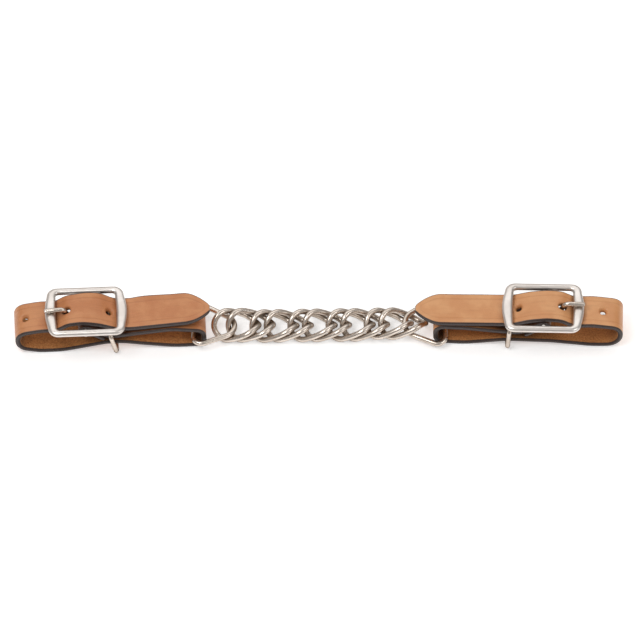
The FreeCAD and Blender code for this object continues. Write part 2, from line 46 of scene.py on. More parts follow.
# leather
STRAP_WIDTH = 15.9
STRAP_THICK = 2.1
# the tip: its length, its blunt end's width, the fullness of its sides, and how far in its end counts as
TIP_LENGTH = 11.0
TIP_FLAT = 2.4
TIP_FULLNESS = 1.75
TIP_BLUNTNESS = 1.12
TIP_EDGE = 0.3
# the edges: how far in they round over, along the sides and at the ends, and how squarely
EDGE_ROUNDING = 0.75
END_ROUNDING = 0.9
EDGE_POWER = 2.3
CREASE_INSET = 2.9
CREASE_WIDTH = 0.34
CREASE_DEPTH = 0.11
# the creases start this far along the strap, past the hidden fold round the bar
CREASE_START = 24.0
# the leather's slight unevenness, in waves and finer ripples
WAVE_HEIGHT = 0.10
WAVE_ALONG = 0.055
WAVE_ACROSS = 0.13
RIPPLE_HEIGHT = 0.035
RIPPLE_SCALE = 3.7
# the billet, which is the layer on top, lies above this height
BILLET_LOWEST = 12.0
# holes: their size on the grain side, and its share on the flesh side, along and across the strap
HOLE_RADIUS = 1.8
HOLE_SPACING = 17.7
PLAIN_TAPER = (0.45, 0.45)
WORN_TAPER = (0.95, 0.66)
# the leather's grid: its step, the cells from the middle of a hole or slot to its side, and how many
# cells round a hole bend with it
GRID = 0.6
HOLE_CELLS = 2
SLOT_CELLS = 2
HOLE_REACH = 6
# how often the mid-line is eased, and over how many rows each way its bend is measured
SOFTENING = 3
BEND_ROWS = 3
# the grid's columns out from the middle line: even ones, some round the crease, and some at the edge
MIDDLE_COLUMNS = 7
CREASE_COLUMNS = [-0.7, -0.35, -0.17, 0.0, 0.17, 0.35, 0.75, 1.25, 1.7]
EDGE_COLUMNS = [7.15, 7.4, 7.6, 7.77, 7.89, 7.95]
# the fold round the buckle's bar, and the tongue's slot in it
WRAP_SLOPE = math.radians(36.0)
WRAP_RADIUS = 2.35
TAIL_GAP = 0.2
TAIL_BEND = 2.6
TAIL_FROM_BAR = 8.0
KNEE_BEND = 6.0
SLOT_BACK = 3.6
SLOT_AHEAD = 4.2
SLOT_DEPTH = 4.0
# buckle frame; its short sides are wider and flatter on top than its rails
FRAME_LENGTH = 34.6
FRAME_WIDTH = 25.2
FRAME_THICK = 2.7
FRAME_CORNER = 4.3
FRAME_BULGE = 1.1
WINDOW_LENGTH = 25.4
WINDOW_WIDTH = 19.3
WINDOW_CORNER = 1.5
WINDOW_BULGE = 0.25
WIDEST_RAIL = 3.4
SIDE_POWER = 2.2
RAIL_POWER = 2.1
OUTSIDE_THINNING = 0.10
# the frame's bar, hung on two posts that are thinner at their tops
BAR_DROP = 4.2
BAR_RADIUS = 1.2
BAR_BEND = 1.3
BAR_GAP = 0.1
POST_FROM_STRAP = 1.3
POST_INTO_RAIL = 0.1
POST_TOP_DROP = 0.3
POST_SHARE = 0.14
POST_THINNING = 0.35
POST_END_ROUND = 0.2
# tongue; it rises from the bar to the frame between two bends, each a distance from the bar and a radius
TONGUE_RADIUS = 1.0
TONGUE_LENGTH = 16.8
TONGUE_RISE_START = (6.9, 1.8)
TONGUE_RISE_END = (9.1, 2.2)
EYE_START = math.radians(-35.0)
EYE_END = math.radians(-270.0)
EYE_STEPS = 24
TONGUE_TIP_SHARE = 0.14
TONGUE_TIP_WIDENING = 0.05
TONGUE_TIP_THINNING = 0.28
TONGUE_END_ROUND = 0.45
# rivet: (radius, height) round its rolled collar and its domed head, from the leather's two faces
RIVET_GAP = 0.08
RIVET_FROM_BAR = 6.5
RIVET_COLLAR = [(0.0, -0.25), (0.5, -0.3), (0.85, -0.55), (1.3, -0.55), (1.62, -0.28), (1.6, -0.02),
                (1.0, 0.0)]
RIVET_HEAD = [(1.0, 0.0), (1.6, 0.02), (1.68, 0.16), (1.45, 0.42), (0.9, 0.56), (0.0, 0.6)]
# wires
KEEPER_RADIUS = 0.98
KEEPER_WIDTH = 18.0
KEEPER_HEIGHT = 8.9
KEEPER_CORNER = 1.9
KEEPER_OFF_FLOOR = 0.1
RING_RADIUS = 1.15
RING_DEPTH = 16.6
RING_HALF_ANGLE = math.radians(28.0)
RING_APEX_RADIUS = 6.2
RING_BAR_RADIUS = 3.4
CHAIN_RADIUS = 1.2
LINK_LENGTH = 21.2
LINK_WIDTH = 14.8
LINK_TWIST = math.radians(96.0)
# a link's arcs are this much of a half circle's radius, so that one ends before the next begins
LINK_ARC_SHARE = 0.999
# the steps along each path: on its arcs, then evenly
STRAP_STEPS = (0.5, 0.5)
BAR_STEPS = (0.25, 0.4)
TONGUE_STEPS = (0.2, 0.3)
LOOP_STEPS = (0.2, 0.35)
LINK_STEPS = (0.15, 0.36)
# vertices round a wire, and round the pieces that are seen larger
AROUND_WIRE = 20
AROUND_THICK_WIRE = 24
AROUND_RIVET = 32
CAP_ANGLES = (0.45, 0.9, 1.25)

# how each end lies, close to the CAD: outward distances, heights, and turns in degrees about END_PIVOT;
# "corners" are the strap's mid-line from the fold on, each an outward distance, a height and a radius
END_PIVOT = 85.0
LEFT = {
    "name": "left", "side": -1, "seed": 2.0,
    "rest_y": -0.65, "yaw": 2.7, "bar": 97.9, "frame_bottom": 15.8, "frame_shift": (0.4, -0.25),
    "tongue_hole": 105.6, "tongue_skew": 3.2, "keeper": 86.3, "keeper_lean": -13.0, "knee_height": 8.6,
    "corners": [
        (79.0, 9.9, 30.0), (62.0, 12.2, 25.0), (48.5, 10.4, 3.6), (48.15, 1.4, 2.3),
        (60.5, 1.05, 40.0), (86.0, 5.9, 30.0), (107.5, 1.05, 30.0), (117.0, 1.05, 9.0),
        (126.2, 3.2, 5.0), (126.7, 12.4, 4.6), (116.0, 14.4, 16.0), (110.2, 14.1, 4.0),
        (105.2, 17.9, 6.0), (99.5, 18.7, 14.0), (92.5, 17.2, 20.0), (85.2, 14.0, 10.0),
        (79.0, 13.7, 30.0), (55.0, 16.3, 30.0), (45.3, 15.8, 0.0),
    ],
    "ring_bar": (-51.8, 1.5, 4.35), "ring_turn": (-5.0, -1.5, -4.5),
    # how far the billet's far edge curls up, at outward distances
    "curl": [(46.0, 0.0), (58.0, 0.4), (73.0, 1.3), (80.0, 0.65), (86.0, 0.65), (93.0, 1.7), (104.0, 0.0)],
}
RIGHT = {
    "name": "right", "side": 1, "seed": 9.0,
    "rest_y": 1.76, "yaw": -1.3, "bar": 94.5, "frame_bottom": 15.1, "frame_shift": (-0.35, -0.6),
    "tongue_hole": 101.9, "tongue_skew": 0.0, "keeper": 79.8, "keeper_lean": -4.0, "knee_height": 8.0,
    "corners": [
        (74.0, 9.1, 30.0), (61.0, 10.7, 25.0), (49.1, 11.2, 3.4), (49.3, 1.5, 2.5),
        (62.0, 1.05, 40.0), (79.0, 3.6, 40.0), (98.0, 3.1, 60.0), (115.0, 1.05, 30.0),
        (126.6, 1.6, 6.0), (126.8, 12.2, 4.2), (115.0, 13.9, 16.0), (106.8, 13.5, 4.0),
        (101.8, 16.7, 6.0), (96.0, 17.4, 14.0), (89.0, 16.3, 18.0), (81.9, 13.8, 10.0),
        (75.0, 13.6, 30.0), (58.0, 13.5, 60.0), (40.3, 13.4, 0.0),
    ],
    "ring_bar": (52.7, 2.75, 5.0), "ring_turn": (4.5, -2.0, 9.0),
    "curl": [],
}
CHAIN_MIDDLE = (0.525, 1.43, 4.1)
CHAIN_YAW = math.radians(0.88)
PAIR_PITCH = 16.0
PAIR_GAP = 6.05
PAIR_COUNT = 5
# the end links' roll about the chain in degrees, and their rise
LINK_LIE = {1: (10.0, 0.76), 2: (10.0, 0.76), 9: (-8.0, 0.62), 10: (-6.0, 0.48)}

# the studio, in metres and watts: each soft box's place, power and size
SOFT_BOXES = {
    "key": ((-0.35, -0.25, 0.85), 3.2, (0.5, 0.35)),
    "fill": ((0.55, -0.35, 0.6), 1.2, (0.45, 0.3)),
    "back": ((0.0, 0.62, 0.80), 3.8, (1.5, 0.85)),
}
SOFT_BOX_AIM = (0.0, 0.0, 0.01)
SKY_COLOUR = (1.0, 0.985, 0.965, 1.0)
SKY_STRENGTH = 0.28
FLOOR_SIZE = 3.0
FLOOR_GLOW = 0.42
CAMERA_LENS = 900.0
CAMERA_SENSOR = 36.0
CAMERA_ELEVATION = math.radians(52.5)
CAMERA_AIM = (0.0002, 0.0079, 0.0)
SHOWN_WIDTH = 0.2681


# ---------------------------------------------------------------- paths

def rounded_points(corners, step, closed=False):
    """Points along straight runs and tangent arcs through (x, y, radius) corners, in one plane."""
    points = [Vector((x, y)) for x, y, _ in corners]
    count = len(points)
    path = []
    for i, (_, _, radius) in enumerate(corners):
        here = points[i]
        if not closed and i in (0, count - 1):
            path.append(here)
            continue
        back = (points[i - 1] - here).normalized()
        ahead = (points[(i + 1) % count] - here).normalized()
        half = math.acos(max(-1.0, min(1.0, back.dot(ahead)))) / 2
        centre = here + (back + ahead).normalized() * (radius / math.sin(half))
        first = here + back * (radius / math.tan(half)) - centre
        sweep = math.pi - 2 * half
        if back.x * ahead.y - back.y * ahead.x > 0:
            sweep = -sweep
        pieces = max(2, math.ceil(abs(sweep) * radius / step))
        for k in range(pieces + 1):
            angle = sweep * k / pieces
            spun = Vector((first.x * math.cos(angle) - first.y * math.sin(angle),
                           first.x * math.sin(angle) + first.y * math.cos(angle)))
            path.append(centre + spun)
    return path


def evenly(points, step, closed=False):
    """The same path with points at even distances."""
    points = list(points) + ([points[0]] if closed else [])
    lengths = [(b - a).length for a, b in zip(points, points[1:])]
    total = sum(lengths)
    count = max(4, round(total / step))
    out = []
    index, passed = 0, 0.0
    for k in range(count if closed else count + 1):
        target = min(total * k / count, total - 1e-9)
        while passed + lengths[index] < target:
            passed += lengths[index]
            index += 1
        share = (target - passed) / lengths[index]
        out.append(points[index].lerp(points[index + 1], share))
    return out


def rounded_path(corners, steps, closed=False):
    """Even points along a rounded path."""
    arc_step, even_step = steps
    return evenly(rounded_points(corners, arc_step, closed), even_step, closed)


def softened(points, rounds):
    """The path with its corners eased, ends kept."""
    for _ in range(rounds):
        middle = [(a + b * 2 + c) / 4 for a, b, c in zip(points, points[1:], points[2:])]
        points = [points[0]] + middle + [points[-1]]
    return points


# ---------------------------------------------------------------- meshes

def show(name, work, material, body, node):
    """Turns a closed bmesh into a smooth object in place of a CAD node, riding on its body."""
    bmesh.ops.recalc_face_normals(work, faces=work.faces)
    bmesh.ops.scale(work, vec=(MM, MM, MM), verts=work.verts)
    mesh = bpy.data.meshes.new(name)
    work.to_mesh(mesh)
    work.free()
    made = bpy.data.objects.new(name, mesh)
    bpy.context.scene.collection.objects.link(made)
    mesh.materials.append(material)
    for polygon in mesh.polygons:
        polygon.use_smooth = True
    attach(made, body)
    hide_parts(node)
    return made


def join_rings(work, rings, closed=False):
    """Faces between neighbouring rings of vertices, and from the last ring to the first if closed."""
    following = rings[1:] + rings[:1] if closed else rings[1:]
    around = len(rings[0])
    for a, b in zip(rings, following):
        for k in range(around):
            work.faces.new((a[k], a[(k + 1) % around], b[(k + 1) % around], b[k]))


def carried_sides(tangents, flat, closed):
    """A direction across the path for each tangent, carried along without twist."""
    side = tangents[0].orthogonal().normalized()
    if flat is not None:
        side = (flat - tangents[0] * flat.dot(tangents[0])).normalized()
    sides = [side]
    for before, tangent in zip(tangents, tangents[1:]):
        side = before.rotation_difference(tangent) @ side
        sides.append((side - tangent * side.dot(tangent)).normalized())
    drift = 0.0
    if closed:
        last = tangents[-1].rotation_difference(tangents[0]) @ sides[-1]
        drift = math.atan2(last.cross(sides[0]).dot(tangents[0]), last.dot(sides[0]))
    count = len(tangents)
    return [Matrix.Rotation(drift * i / count, 3, tangents[i]) @ sides[i] for i in range(count)]


def add_tube(work, points, section, around=AROUND_WIRE, flat=None, end_round=None):
    """A wire along 3-D points: a closed loop, or open with domed ends if end_round gives their height.

    The section gives the half width and half height at a share of the way; flat is across the wire.
    """
    count = len(points)
    closed = end_round is None
    tangents = []
    for i in range(count):
        if closed:
            tangent = points[(i + 1) % count] - points[i - 1]
        else:
            tangent = points[min(i + 1, count - 1)] - points[max(i - 1, 0)]
        tangents.append(tangent.normalized())
    sides = carried_sides(tangents, flat, closed)
    rings = []
    for i, (point, tangent, across) in enumerate(zip(points, tangents, sides)):
        wide, high = section(i / count)
        up = tangent.cross(across)
        ring = []
        for k in range(around):
            phi = 2 * math.pi * k / around
            spoke = across * (math.cos(phi) * wide) + up * (math.sin(phi) * high)
            ring.append(work.verts.new(point + spoke))
        rings.append(ring)
    join_rings(work, rings, closed)
    if not closed:
        cap_tube(work, rings[0], points[0], -tangents[0], end_round)
        cap_tube(work, rings[-1], points[-1], tangents[-1], end_round)


def cap_tube(work, ring, point, way, bulge):
    """A domed end on an open tube."""
    rings = [ring]
    for angle in CAP_ANGLES:
        inner = []
        for vert in ring:
            flat = point + (vert.co - point) * math.cos(angle)
            inner.append(work.verts.new(flat + way * math.sin(angle) * bulge))
        rings.append(inner)
    join_rings(work, rings)
    top = work.verts.new(point + way * bulge)
    last = rings[-1]
    for k, vert in enumerate(last):
        work.faces.new((vert, last[(k + 1) % len(last)], top))


def round_section(radius):
    """A wire's round section, the same all the way."""
    return lambda share: (radius, radius)


# ---------------------------------------------------------------- where an end's pieces lie

def end_matrix(end):
    """One end's own frame, where +X is outward distance times its side."""
    pivot = Matrix.Translation((end["side"] * END_PIVOT, 0, 0))
    shift = Matrix.Translation((0, end["rest_y"], 0))
    return shift @ pivot @ Matrix.Rotation(math.radians(end["yaw"]), 4, "Z") @ pivot.inverted()


def bar_height(end):
    """The height of the middle of the buckle's bar."""
    return end["frame_bottom"] + FRAME_THICK / 2 - BAR_DROP


def strap_corners(end):
    """The mid-line's corners, from the tail under the fold, round the bar, and on to the billet's tip."""
    bar, height = end["bar"], bar_height(end)
    slope = math.tan(WRAP_SLOPE)
    over_bar = height + WRAP_RADIUS / math.cos(WRAP_SLOPE)
    knee = bar - (over_bar - end["knee_height"]) / slope
    spacing = (STRAP_THICK + TAIL_GAP) / math.cos(WRAP_SLOPE)
    meet = bar - (over_bar - spacing - (height - WRAP_RADIUS)) / slope
    tail = bar - TAIL_FROM_BAR
    top = height + WRAP_RADIUS * (1 + math.sin(WRAP_SLOPE)) / math.cos(WRAP_SLOPE)
    corners = [
        (tail, over_bar - spacing - (bar - tail) * slope, 0.0),
        (meet, height - WRAP_RADIUS, TAIL_BEND),
        (bar + WRAP_RADIUS, height - WRAP_RADIUS, WRAP_RADIUS),
        (bar + WRAP_RADIUS, top, WRAP_RADIUS),
        (knee, end["knee_height"], KNEE_BEND),
    ]
    return corners + end["corners"]


# ---------------------------------------------------------------- leather

def across_stations():
    """Distances from the strap's middle line, close together at the edge and at the crease."""
    crease = STRAP_WIDTH / 2 - CREASE_INSET
    half = [GRID * k for k in range(MIDDLE_COLUMNS)]
    half += [crease + offset for offset in CREASE_COLUMNS]
    half += EDGE_COLUMNS
    return [-v for v in reversed(half[1:])] + half


def half_width(from_tip):
    """The strap's half width at a distance from its tip: the tip's sides are full curves."""
    half = STRAP_WIDTH / 2
    if from_tip >= TIP_LENGTH:
        return half
    share = max(0.0, from_tip / TIP_LENGTH)
    curve = (1 - (1 - share) ** TIP_FULLNESS) ** (1 / TIP_BLUNTNESS)
    return TIP_FLAT / 2 + (half - TIP_FLAT / 2) * curve


def far_curl(end, distance):
    """The far edge's rise where the billet curls, eased between the given distances."""
    for (a, low), (b, high) in zip(end["curl"], end["curl"][1:]):
        if a < distance <= b:
            share = (1 - math.cos(math.pi * (distance - a) / (b - a))) / 2
            return low + (high - low) * share
    return 0.0


def edge_rounding(distance, reach):
    """The share of the full thickness at a distance in from an edge."""
    if distance >= reach:
        return 1.0
    gap = 1 - max(distance, 0.0) / reach
    return (1 - gap ** EDGE_POWER) ** (1 / EDGE_POWER)


def crease_depth(along, from_edge):
    """The depth of the groove near each edge."""
    if along < CREASE_START:
        return 0.0
    return CREASE_DEPTH * math.exp(-((from_edge - CREASE_INSET) / CREASE_WIDTH) ** 2)


def leather_wave(along, across, seed):
    """The strap's slight unevenness: a long wave and a shorter ripple."""
    where = Vector((along * WAVE_ALONG, across * WAVE_ACROSS, seed))
    return WAVE_HEIGHT * noise.noise(where) + RIPPLE_HEIGHT * noise.noise(where * RIPPLE_SCALE)


def is_billet(i, mid):
    """Whether a row is on the top layer, which passes over the buckle's bar and ends in the tip."""
    return i > len(mid) / 2 and mid[i].y > BILLET_LOWEST


def leather_holes(end, mid):
    """The billet's holes: (row, worn), the worn one holding the tongue."""
    billet = [i for i in range(len(mid)) if is_billet(i, mid)]
    holes = []
    for step in (-1, 0, 1):
        target = end["tongue_hole"] + step * HOLE_SPACING
        nearest = min(billet, key=lambda i: abs(mid[i].x - target))
        holes.append((nearest, step == 0))
    return holes


def hole_shift(holes, i, j, side):
    """How far a grid point moves, along and across, so that the cells round a hole lie round an oval."""
    for row, worn in holes:
        x, y = i - row, j
        ring = max(abs(x), abs(y))
        if not HOLE_CELLS <= ring < HOLE_REACH:
            continue
        share = (ring - HOLE_CELLS) / (HOLE_REACH - HOLE_CELLS)
        round_scale = ring / math.hypot(x, y) * HOLE_RADIUS / (HOLE_CELLS * GRID)
        tapers = WORN_TAPER if worn else PLAIN_TAPER
        if side > 0:
            tapers = (1.0, 1.0)
        grow = [(1 - share) * round_scale * taper + share - 1 for taper in tapers]
        return x * GRID * grow[0], y * GRID * grow[1]
    return 0.0, 0.0


def removed_cells(end, mid, holes, middle):
    """The grid cells that the holes and the tongue's slot take away."""
    removed = set()
    for row, _ in holes:
        for i in range(row - HOLE_CELLS, row + HOLE_CELLS):
            for j in range(middle - HOLE_CELLS, middle + HOLE_CELLS):
                removed.add((i, j))
    lowest = bar_height(end) - SLOT_DEPTH
    slot_rows = [i for i, p in enumerate(mid[:len(mid) // 2])
                 if -SLOT_BACK < p.x - end["bar"] < SLOT_AHEAD and p.y > lowest]
    for i in range(slot_rows[0], slot_rows[-1]):
        for j in range(middle - SLOT_CELLS, middle + SLOT_CELLS):
            removed.add((i, j))
    return removed


def strap_verts(work, end, mid, columns, holes):
    """The strap's grid of vertices on its grain and flesh sides, which share those on its edges.

    Each vertex carries what the leather's material needs: where it is along and across the strap, how far
    it is from the edge, which side it is on, and how sharply the strap bends there.
    """
    layers = [work.verts.layers.float.new(label) for label in ("along", "across", "edge", "side", "bend")]
    place = end_matrix(end)
    last_row, last_column = len(mid) - 1, len(columns) - 1
    tangents = [(mid[min(i + 1, last_row)] - mid[max(i - 1, 0)]).normalized() for i in range(last_row + 1)]
    grain_side = {}
    flesh_side = {}
    for i, (point, tangent) in enumerate(zip(mid, tangents)):
        along = i * GRID
        from_tip = GRID * last_row - along
        half = half_width(from_tip)
        outward = Vector((tangent.y, -tangent.x))
        thinned = min(edge_rounding(along, END_ROUNDING), edge_rounding(from_tip, END_ROUNDING))
        at_end = i in (0, last_row)
        curl = far_curl(end, point.x) if is_billet(i, mid) else 0.0
        bend = 0.0
        if BEND_ROWS <= i <= last_row - BEND_ROWS:
            turned = tangents[i - BEND_ROWS].angle_signed(tangents[i + BEND_ROWS], 0.0)
            bend = turned / (2 * BEND_ROWS * GRID)
        for j, station in enumerate(columns):
            across = station * half / (STRAP_WIDTH / 2)
            from_edge = half - abs(across)
            if from_tip < TIP_LENGTH:
                from_edge = min(from_edge, from_tip + TIP_EDGE)
            on_edge = at_end or j in (0, last_column)
            curled = curl * ((across / half + 1) / 2) ** 2
            for side, store in ((1, grain_side), (-1, flesh_side)):
                if on_edge and side < 0:
                    store[i, j] = grain_side[i, j]
                    continue
                lift = side * STRAP_THICK / 2 * edge_rounding(from_edge, EDGE_ROUNDING) * thinned
                if not on_edge:
                    lift += leather_wave(along, across, end["seed"])
                if side > 0:
                    lift -= crease_depth(along, from_edge)
                if at_end:
                    lift = 0.0
                along_shift, across_shift = hole_shift(holes, i, j - len(columns) // 2, side)
                flat = point + tangent * along_shift + outward * (curled + lift)
                spot = Vector((end["side"] * flat.x, across + across_shift, max(flat.y, 0.0)))
                vert = work.verts.new(place @ spot)
                for layer, value in zip(layers, (along, across, from_edge, side, bend)):
                    vert[layer] = value
                store[i, j] = vert
    return grain_side, flesh_side


def strap_faces(work, grain_side, flesh_side, removed, row_count, column_count):
    """The faces of both sides, and the walls round the cells that are removed."""
    cells = [(i, j) for i in range(row_count - 1) for j in range(column_count - 1) if (i, j) not in removed]
    for i, j in cells:
        for store in (grain_side, flesh_side):
            corners = [store[key] for key in ((i, j), (i + 1, j), (i + 1, j + 1), (i, j + 1))]
            work.faces.new(corners)
    for i, j in removed:
        walls = {
            (i - 1, j): ((i, j), (i, j + 1)),
            (i + 1, j): ((i + 1, j), (i + 1, j + 1)),
            (i, j - 1): ((i, j), (i + 1, j)),
            (i, j + 1): ((i, j + 1), (i + 1, j + 1)),
        }
        for neighbour, (a, b) in walls.items():
            if neighbour not in removed:
                work.faces.new((grain_side[a], grain_side[b], flesh_side[b], flesh_side[a]))


def make_leather(end, material):
    """One folded end: a closed band with burnished edges, edge creases, punched holes and a tongue slot."""
    mid = evenly(softened(rounded_path(strap_corners(end), STRAP_STEPS), SOFTENING), GRID)
    columns = across_stations()
    holes = leather_holes(end, mid)
    removed = removed_cells(end, mid, holes, len(columns) // 2)
    work = bmesh.new()
    grain_side, flesh_side = strap_verts(work, end, mid, columns, holes)
    strap_faces(work, grain_side, flesh_side, removed, len(mid), len(columns))
    which = end["name"]
    leather = f"{which}_leather"
    made = show(f"{leather}_strap", work, material, leather, f"{which}_strap")
    smooth = made.modifiers.new("smooth", "SUBSURF")
    smooth.levels = 1
    smooth.render_levels = 1


# ---------------------------------------------------------------- buckle

def quarter_points(half_x, half_y, radius, bulge, samples=10):
    """A quarter of a rounded rectangle whose short side bulges outward."""
    out = []
    for k in range(samples + 1):
        share = k / samples
        sag = bulge * (1 - math.cos(math.pi / 2 * share))
        out.append(Vector((half_x - sag, (half_y - radius) * share)))
    corner = Vector((half_x - bulge - radius, half_y - radius))
    for k in range(1, samples + 1):
        angle = math.pi / 2 * k / samples
        out.append(corner + Vector((math.cos(angle), math.sin(angle))) * radius)
    for k in range(1, samples + 1):
        out.append(Vector((corner.x * (1 - k / samples), half_y)))
    return out


def whole_loop(quarter):
    """The four quarters of a loop that is the same left and right, and near and far."""
    loop = list(quarter)
    loop += [Vector((-p.x, p.y)) for p in reversed(quarter[:-1])]
    loop += [Vector((-p.x, -p.y)) for p in quarter[1:]]
    loop += [Vector((p.x, -p.y)) for p in reversed(quarter[1:-1])]
    return loop


def frame_ring(work, far, near, shift):
    """The frame's section between a point of its outline and one of its window."""
    width = (far - near).length
    centre = (far + near) / 2
    out = (far - near).normalized()
    power = SIDE_POWER if width > WIDEST_RAIL else RAIL_POWER
    ring = []
    for k in range(AROUND_THICK_WIRE):
        phi = 2 * math.pi * k / AROUND_THICK_WIRE
        c, s = math.cos(phi), math.sin(phi)
        x = math.copysign(abs(c) ** (2 / power), c) * width / 2
        z = math.copysign(abs(s) ** (2 / power), s) * FRAME_THICK / 2
        z *= 1.0 - OUTSIDE_THINNING * max(c, 0.0)
        spot = centre + out * x + shift
        ring.append(work.verts.new((spot.x, spot.y, z)))
    return ring


def bar_section(share):
    """The bar's section, thinner towards the tops of its posts."""
    from_bar = max(0.0, abs(share - 0.5) - (0.5 - POST_SHARE))
    radius = BAR_RADIUS * (1 - POST_THINNING * from_bar / POST_SHARE)
    return radius, radius


def make_frame(end, material):
    """The cast frame: a smooth loop whose section is a crowned, rounded bar, with a dropped centre bar."""
    outline = whole_loop(quarter_points(FRAME_LENGTH / 2, FRAME_WIDTH / 2, FRAME_CORNER, FRAME_BULGE))
    window = whole_loop(quarter_points(WINDOW_LENGTH / 2, WINDOW_WIDTH / 2, WINDOW_CORNER, WINDOW_BULGE))
    shift = Vector(end["frame_shift"])
    work = bmesh.new()
    rings = [frame_ring(work, far, near, shift) for far, near in zip(outline, window)]
    join_rings(work, rings, closed=True)
    reach = WINDOW_WIDTH / 2 + POST_INTO_RAIL
    foot = STRAP_WIDTH / 2 + POST_FROM_STRAP
    corners = [(-reach, -POST_TOP_DROP, 0), (-foot, -BAR_DROP, BAR_BEND),
               (foot, -BAR_DROP, BAR_BEND), (reach, -POST_TOP_DROP, 0)]
    bar = [Vector((0.0, p.x, p.y)) for p in rounded_path(corners, BAR_STEPS)]
    add_tube(work, bar, bar_section, end_round=POST_END_ROUND)
    centre = Matrix.Translation((end["side"] * end["bar"], 0, end["frame_bottom"] + FRAME_THICK / 2))
    bmesh.ops.transform(work, matrix=end_matrix(end) @ centre, verts=work.verts)
    which = end["name"]
    show(f"{which}_frame_cast", work, material, f"{which}_frame", f"{which}_buckle_frame")


def tongue_section(share):
    """The tongue's section: round wire, a little wider and flatter at its tip."""
    tip = max(0.0, (share - (1 - TONGUE_TIP_SHARE)) / TONGUE_TIP_SHARE)
    return TONGUE_RADIUS * (1 + TONGUE_TIP_WIDENING * tip), TONGUE_RADIUS * (1 - TONGUE_TIP_THINNING * tip)


def make_tongue(end, material):
    """The tongue: a wire eye round the bar and a blade that ends, slightly flattened, over the frame."""
    side = end["side"]
    eye = BAR_RADIUS + BAR_GAP + TONGUE_RADIUS
    over = FRAME_THICK / 2 + BAR_DROP + TONGUE_RADIUS + BAR_GAP
    route = []
    for k in range(EYE_STEPS + 1):
        angle = EYE_START + (EYE_END - EYE_START) * k / EYE_STEPS
        route.append(Vector((eye * math.cos(angle), eye * math.sin(angle))))
    rise_start, first_bend = TONGUE_RISE_START
    rise_end, second_bend = TONGUE_RISE_END
    arc_step, even_step = TONGUE_STEPS
    blade = rounded_points([(0.0, eye, 0), (rise_start, eye, first_bend), (rise_end, over, second_bend),
                            (TONGUE_LENGTH, over, 0)], arc_step)
    points = [Vector((side * p.x, 0.0, p.y)) for p in evenly(route + blade[1:], even_step)]
    work = bmesh.new()
    add_tube(work, points, tongue_section, flat=Vector((0, 1, 0)), end_round=TONGUE_END_ROUND)
    centre = Matrix.Translation((side * end["bar"], 0, bar_height(end)))
    skew = Matrix.Rotation(math.radians(end["tongue_skew"]), 4, "Z")
    bmesh.ops.transform(work, matrix=end_matrix(end) @ centre @ skew, verts=work.verts)
    which = end["name"]
    show(f"{which}_tongue_wire", work, material, f"{which}_tongue", f"{which}_buckle_tongue")


def make_keeper(end, material):
    """The loose keeper: a rounded rectangle of wire that leans along the strap."""
    half_wide = KEEPER_WIDTH / 2 + KEEPER_RADIUS
    half_high = KEEPER_HEIGHT / 2 + KEEPER_RADIUS
    corners = [(half_wide, -half_high, KEEPER_CORNER), (half_wide, half_high, KEEPER_CORNER),
               (-half_wide, half_high, KEEPER_CORNER), (-half_wide, -half_high, KEEPER_CORNER)]
    points = [Vector((0.0, p.x, p.y)) for p in rounded_path(corners, LOOP_STEPS, closed=True)]
    work = bmesh.new()
    add_tube(work, points, round_section(KEEPER_RADIUS))
    lean = Matrix.Rotation(math.radians(-end["side"] * end["keeper_lean"]), 4, "Y")
    height = KEEPER_OFF_FLOOR + KEEPER_RADIUS + half_high
    centre = Matrix.Translation((end["side"] * end["keeper"], 0, height))
    bmesh.ops.transform(work, matrix=end_matrix(end) @ centre @ lean, verts=work.verts)
    which = end["name"]
    show(f"{which}_keeper_wire", work, material, f"{which}_keeper", f"{which}_keeper")


def make_rivet(end, material):
    """The tubular rivet: a turned shank with a domed head above and a rolled collar below."""
    # from the upper layer's middle: the faces of the two layers that it holds together
    top = STRAP_THICK / 2 + RIVET_GAP
    bottom = -1.5 * STRAP_THICK - TAIL_GAP - RIVET_GAP
    outline = [(radius, bottom + height) for radius, height in RIVET_COLLAR]
    outline += [(radius, top + height) for radius, height in RIVET_HEAD]
    work = bmesh.new()
    rings = []
    for radius, height in outline[1:-1]:
        angles = [2 * math.pi * k / AROUND_RIVET for k in range(AROUND_RIVET)]
        rings.append([work.verts.new((radius * math.cos(a), radius * math.sin(a), height)) for a in angles])
    join_rings(work, rings)
    for ring, (_, height) in ((rings[0], outline[0]), (rings[-1], outline[-1])):
        middle = work.verts.new((0, 0, height))
        for k in range(AROUND_RIVET):
            work.faces.new((middle, ring[k], ring[(k + 1) % AROUND_RIVET]))
    rise = bar_height(end) + WRAP_RADIUS / math.cos(WRAP_SLOPE) - RIVET_FROM_BAR * math.tan(WRAP_SLOPE)
    spot = Matrix.Translation((end["side"] * (end["bar"] - RIVET_FROM_BAR), 0, rise))
    tilt = Matrix.Rotation(-end["side"] * WRAP_SLOPE, 4, "Y")
    bmesh.ops.transform(work, matrix=end_matrix(end) @ spot @ tilt, verts=work.verts)
    which = end["name"]
    show(f"{which}_rivet_turned", work, material, f"{which}_leather", f"{which}_fold_rivet")


# ---------------------------------------------------------------- chain and rings

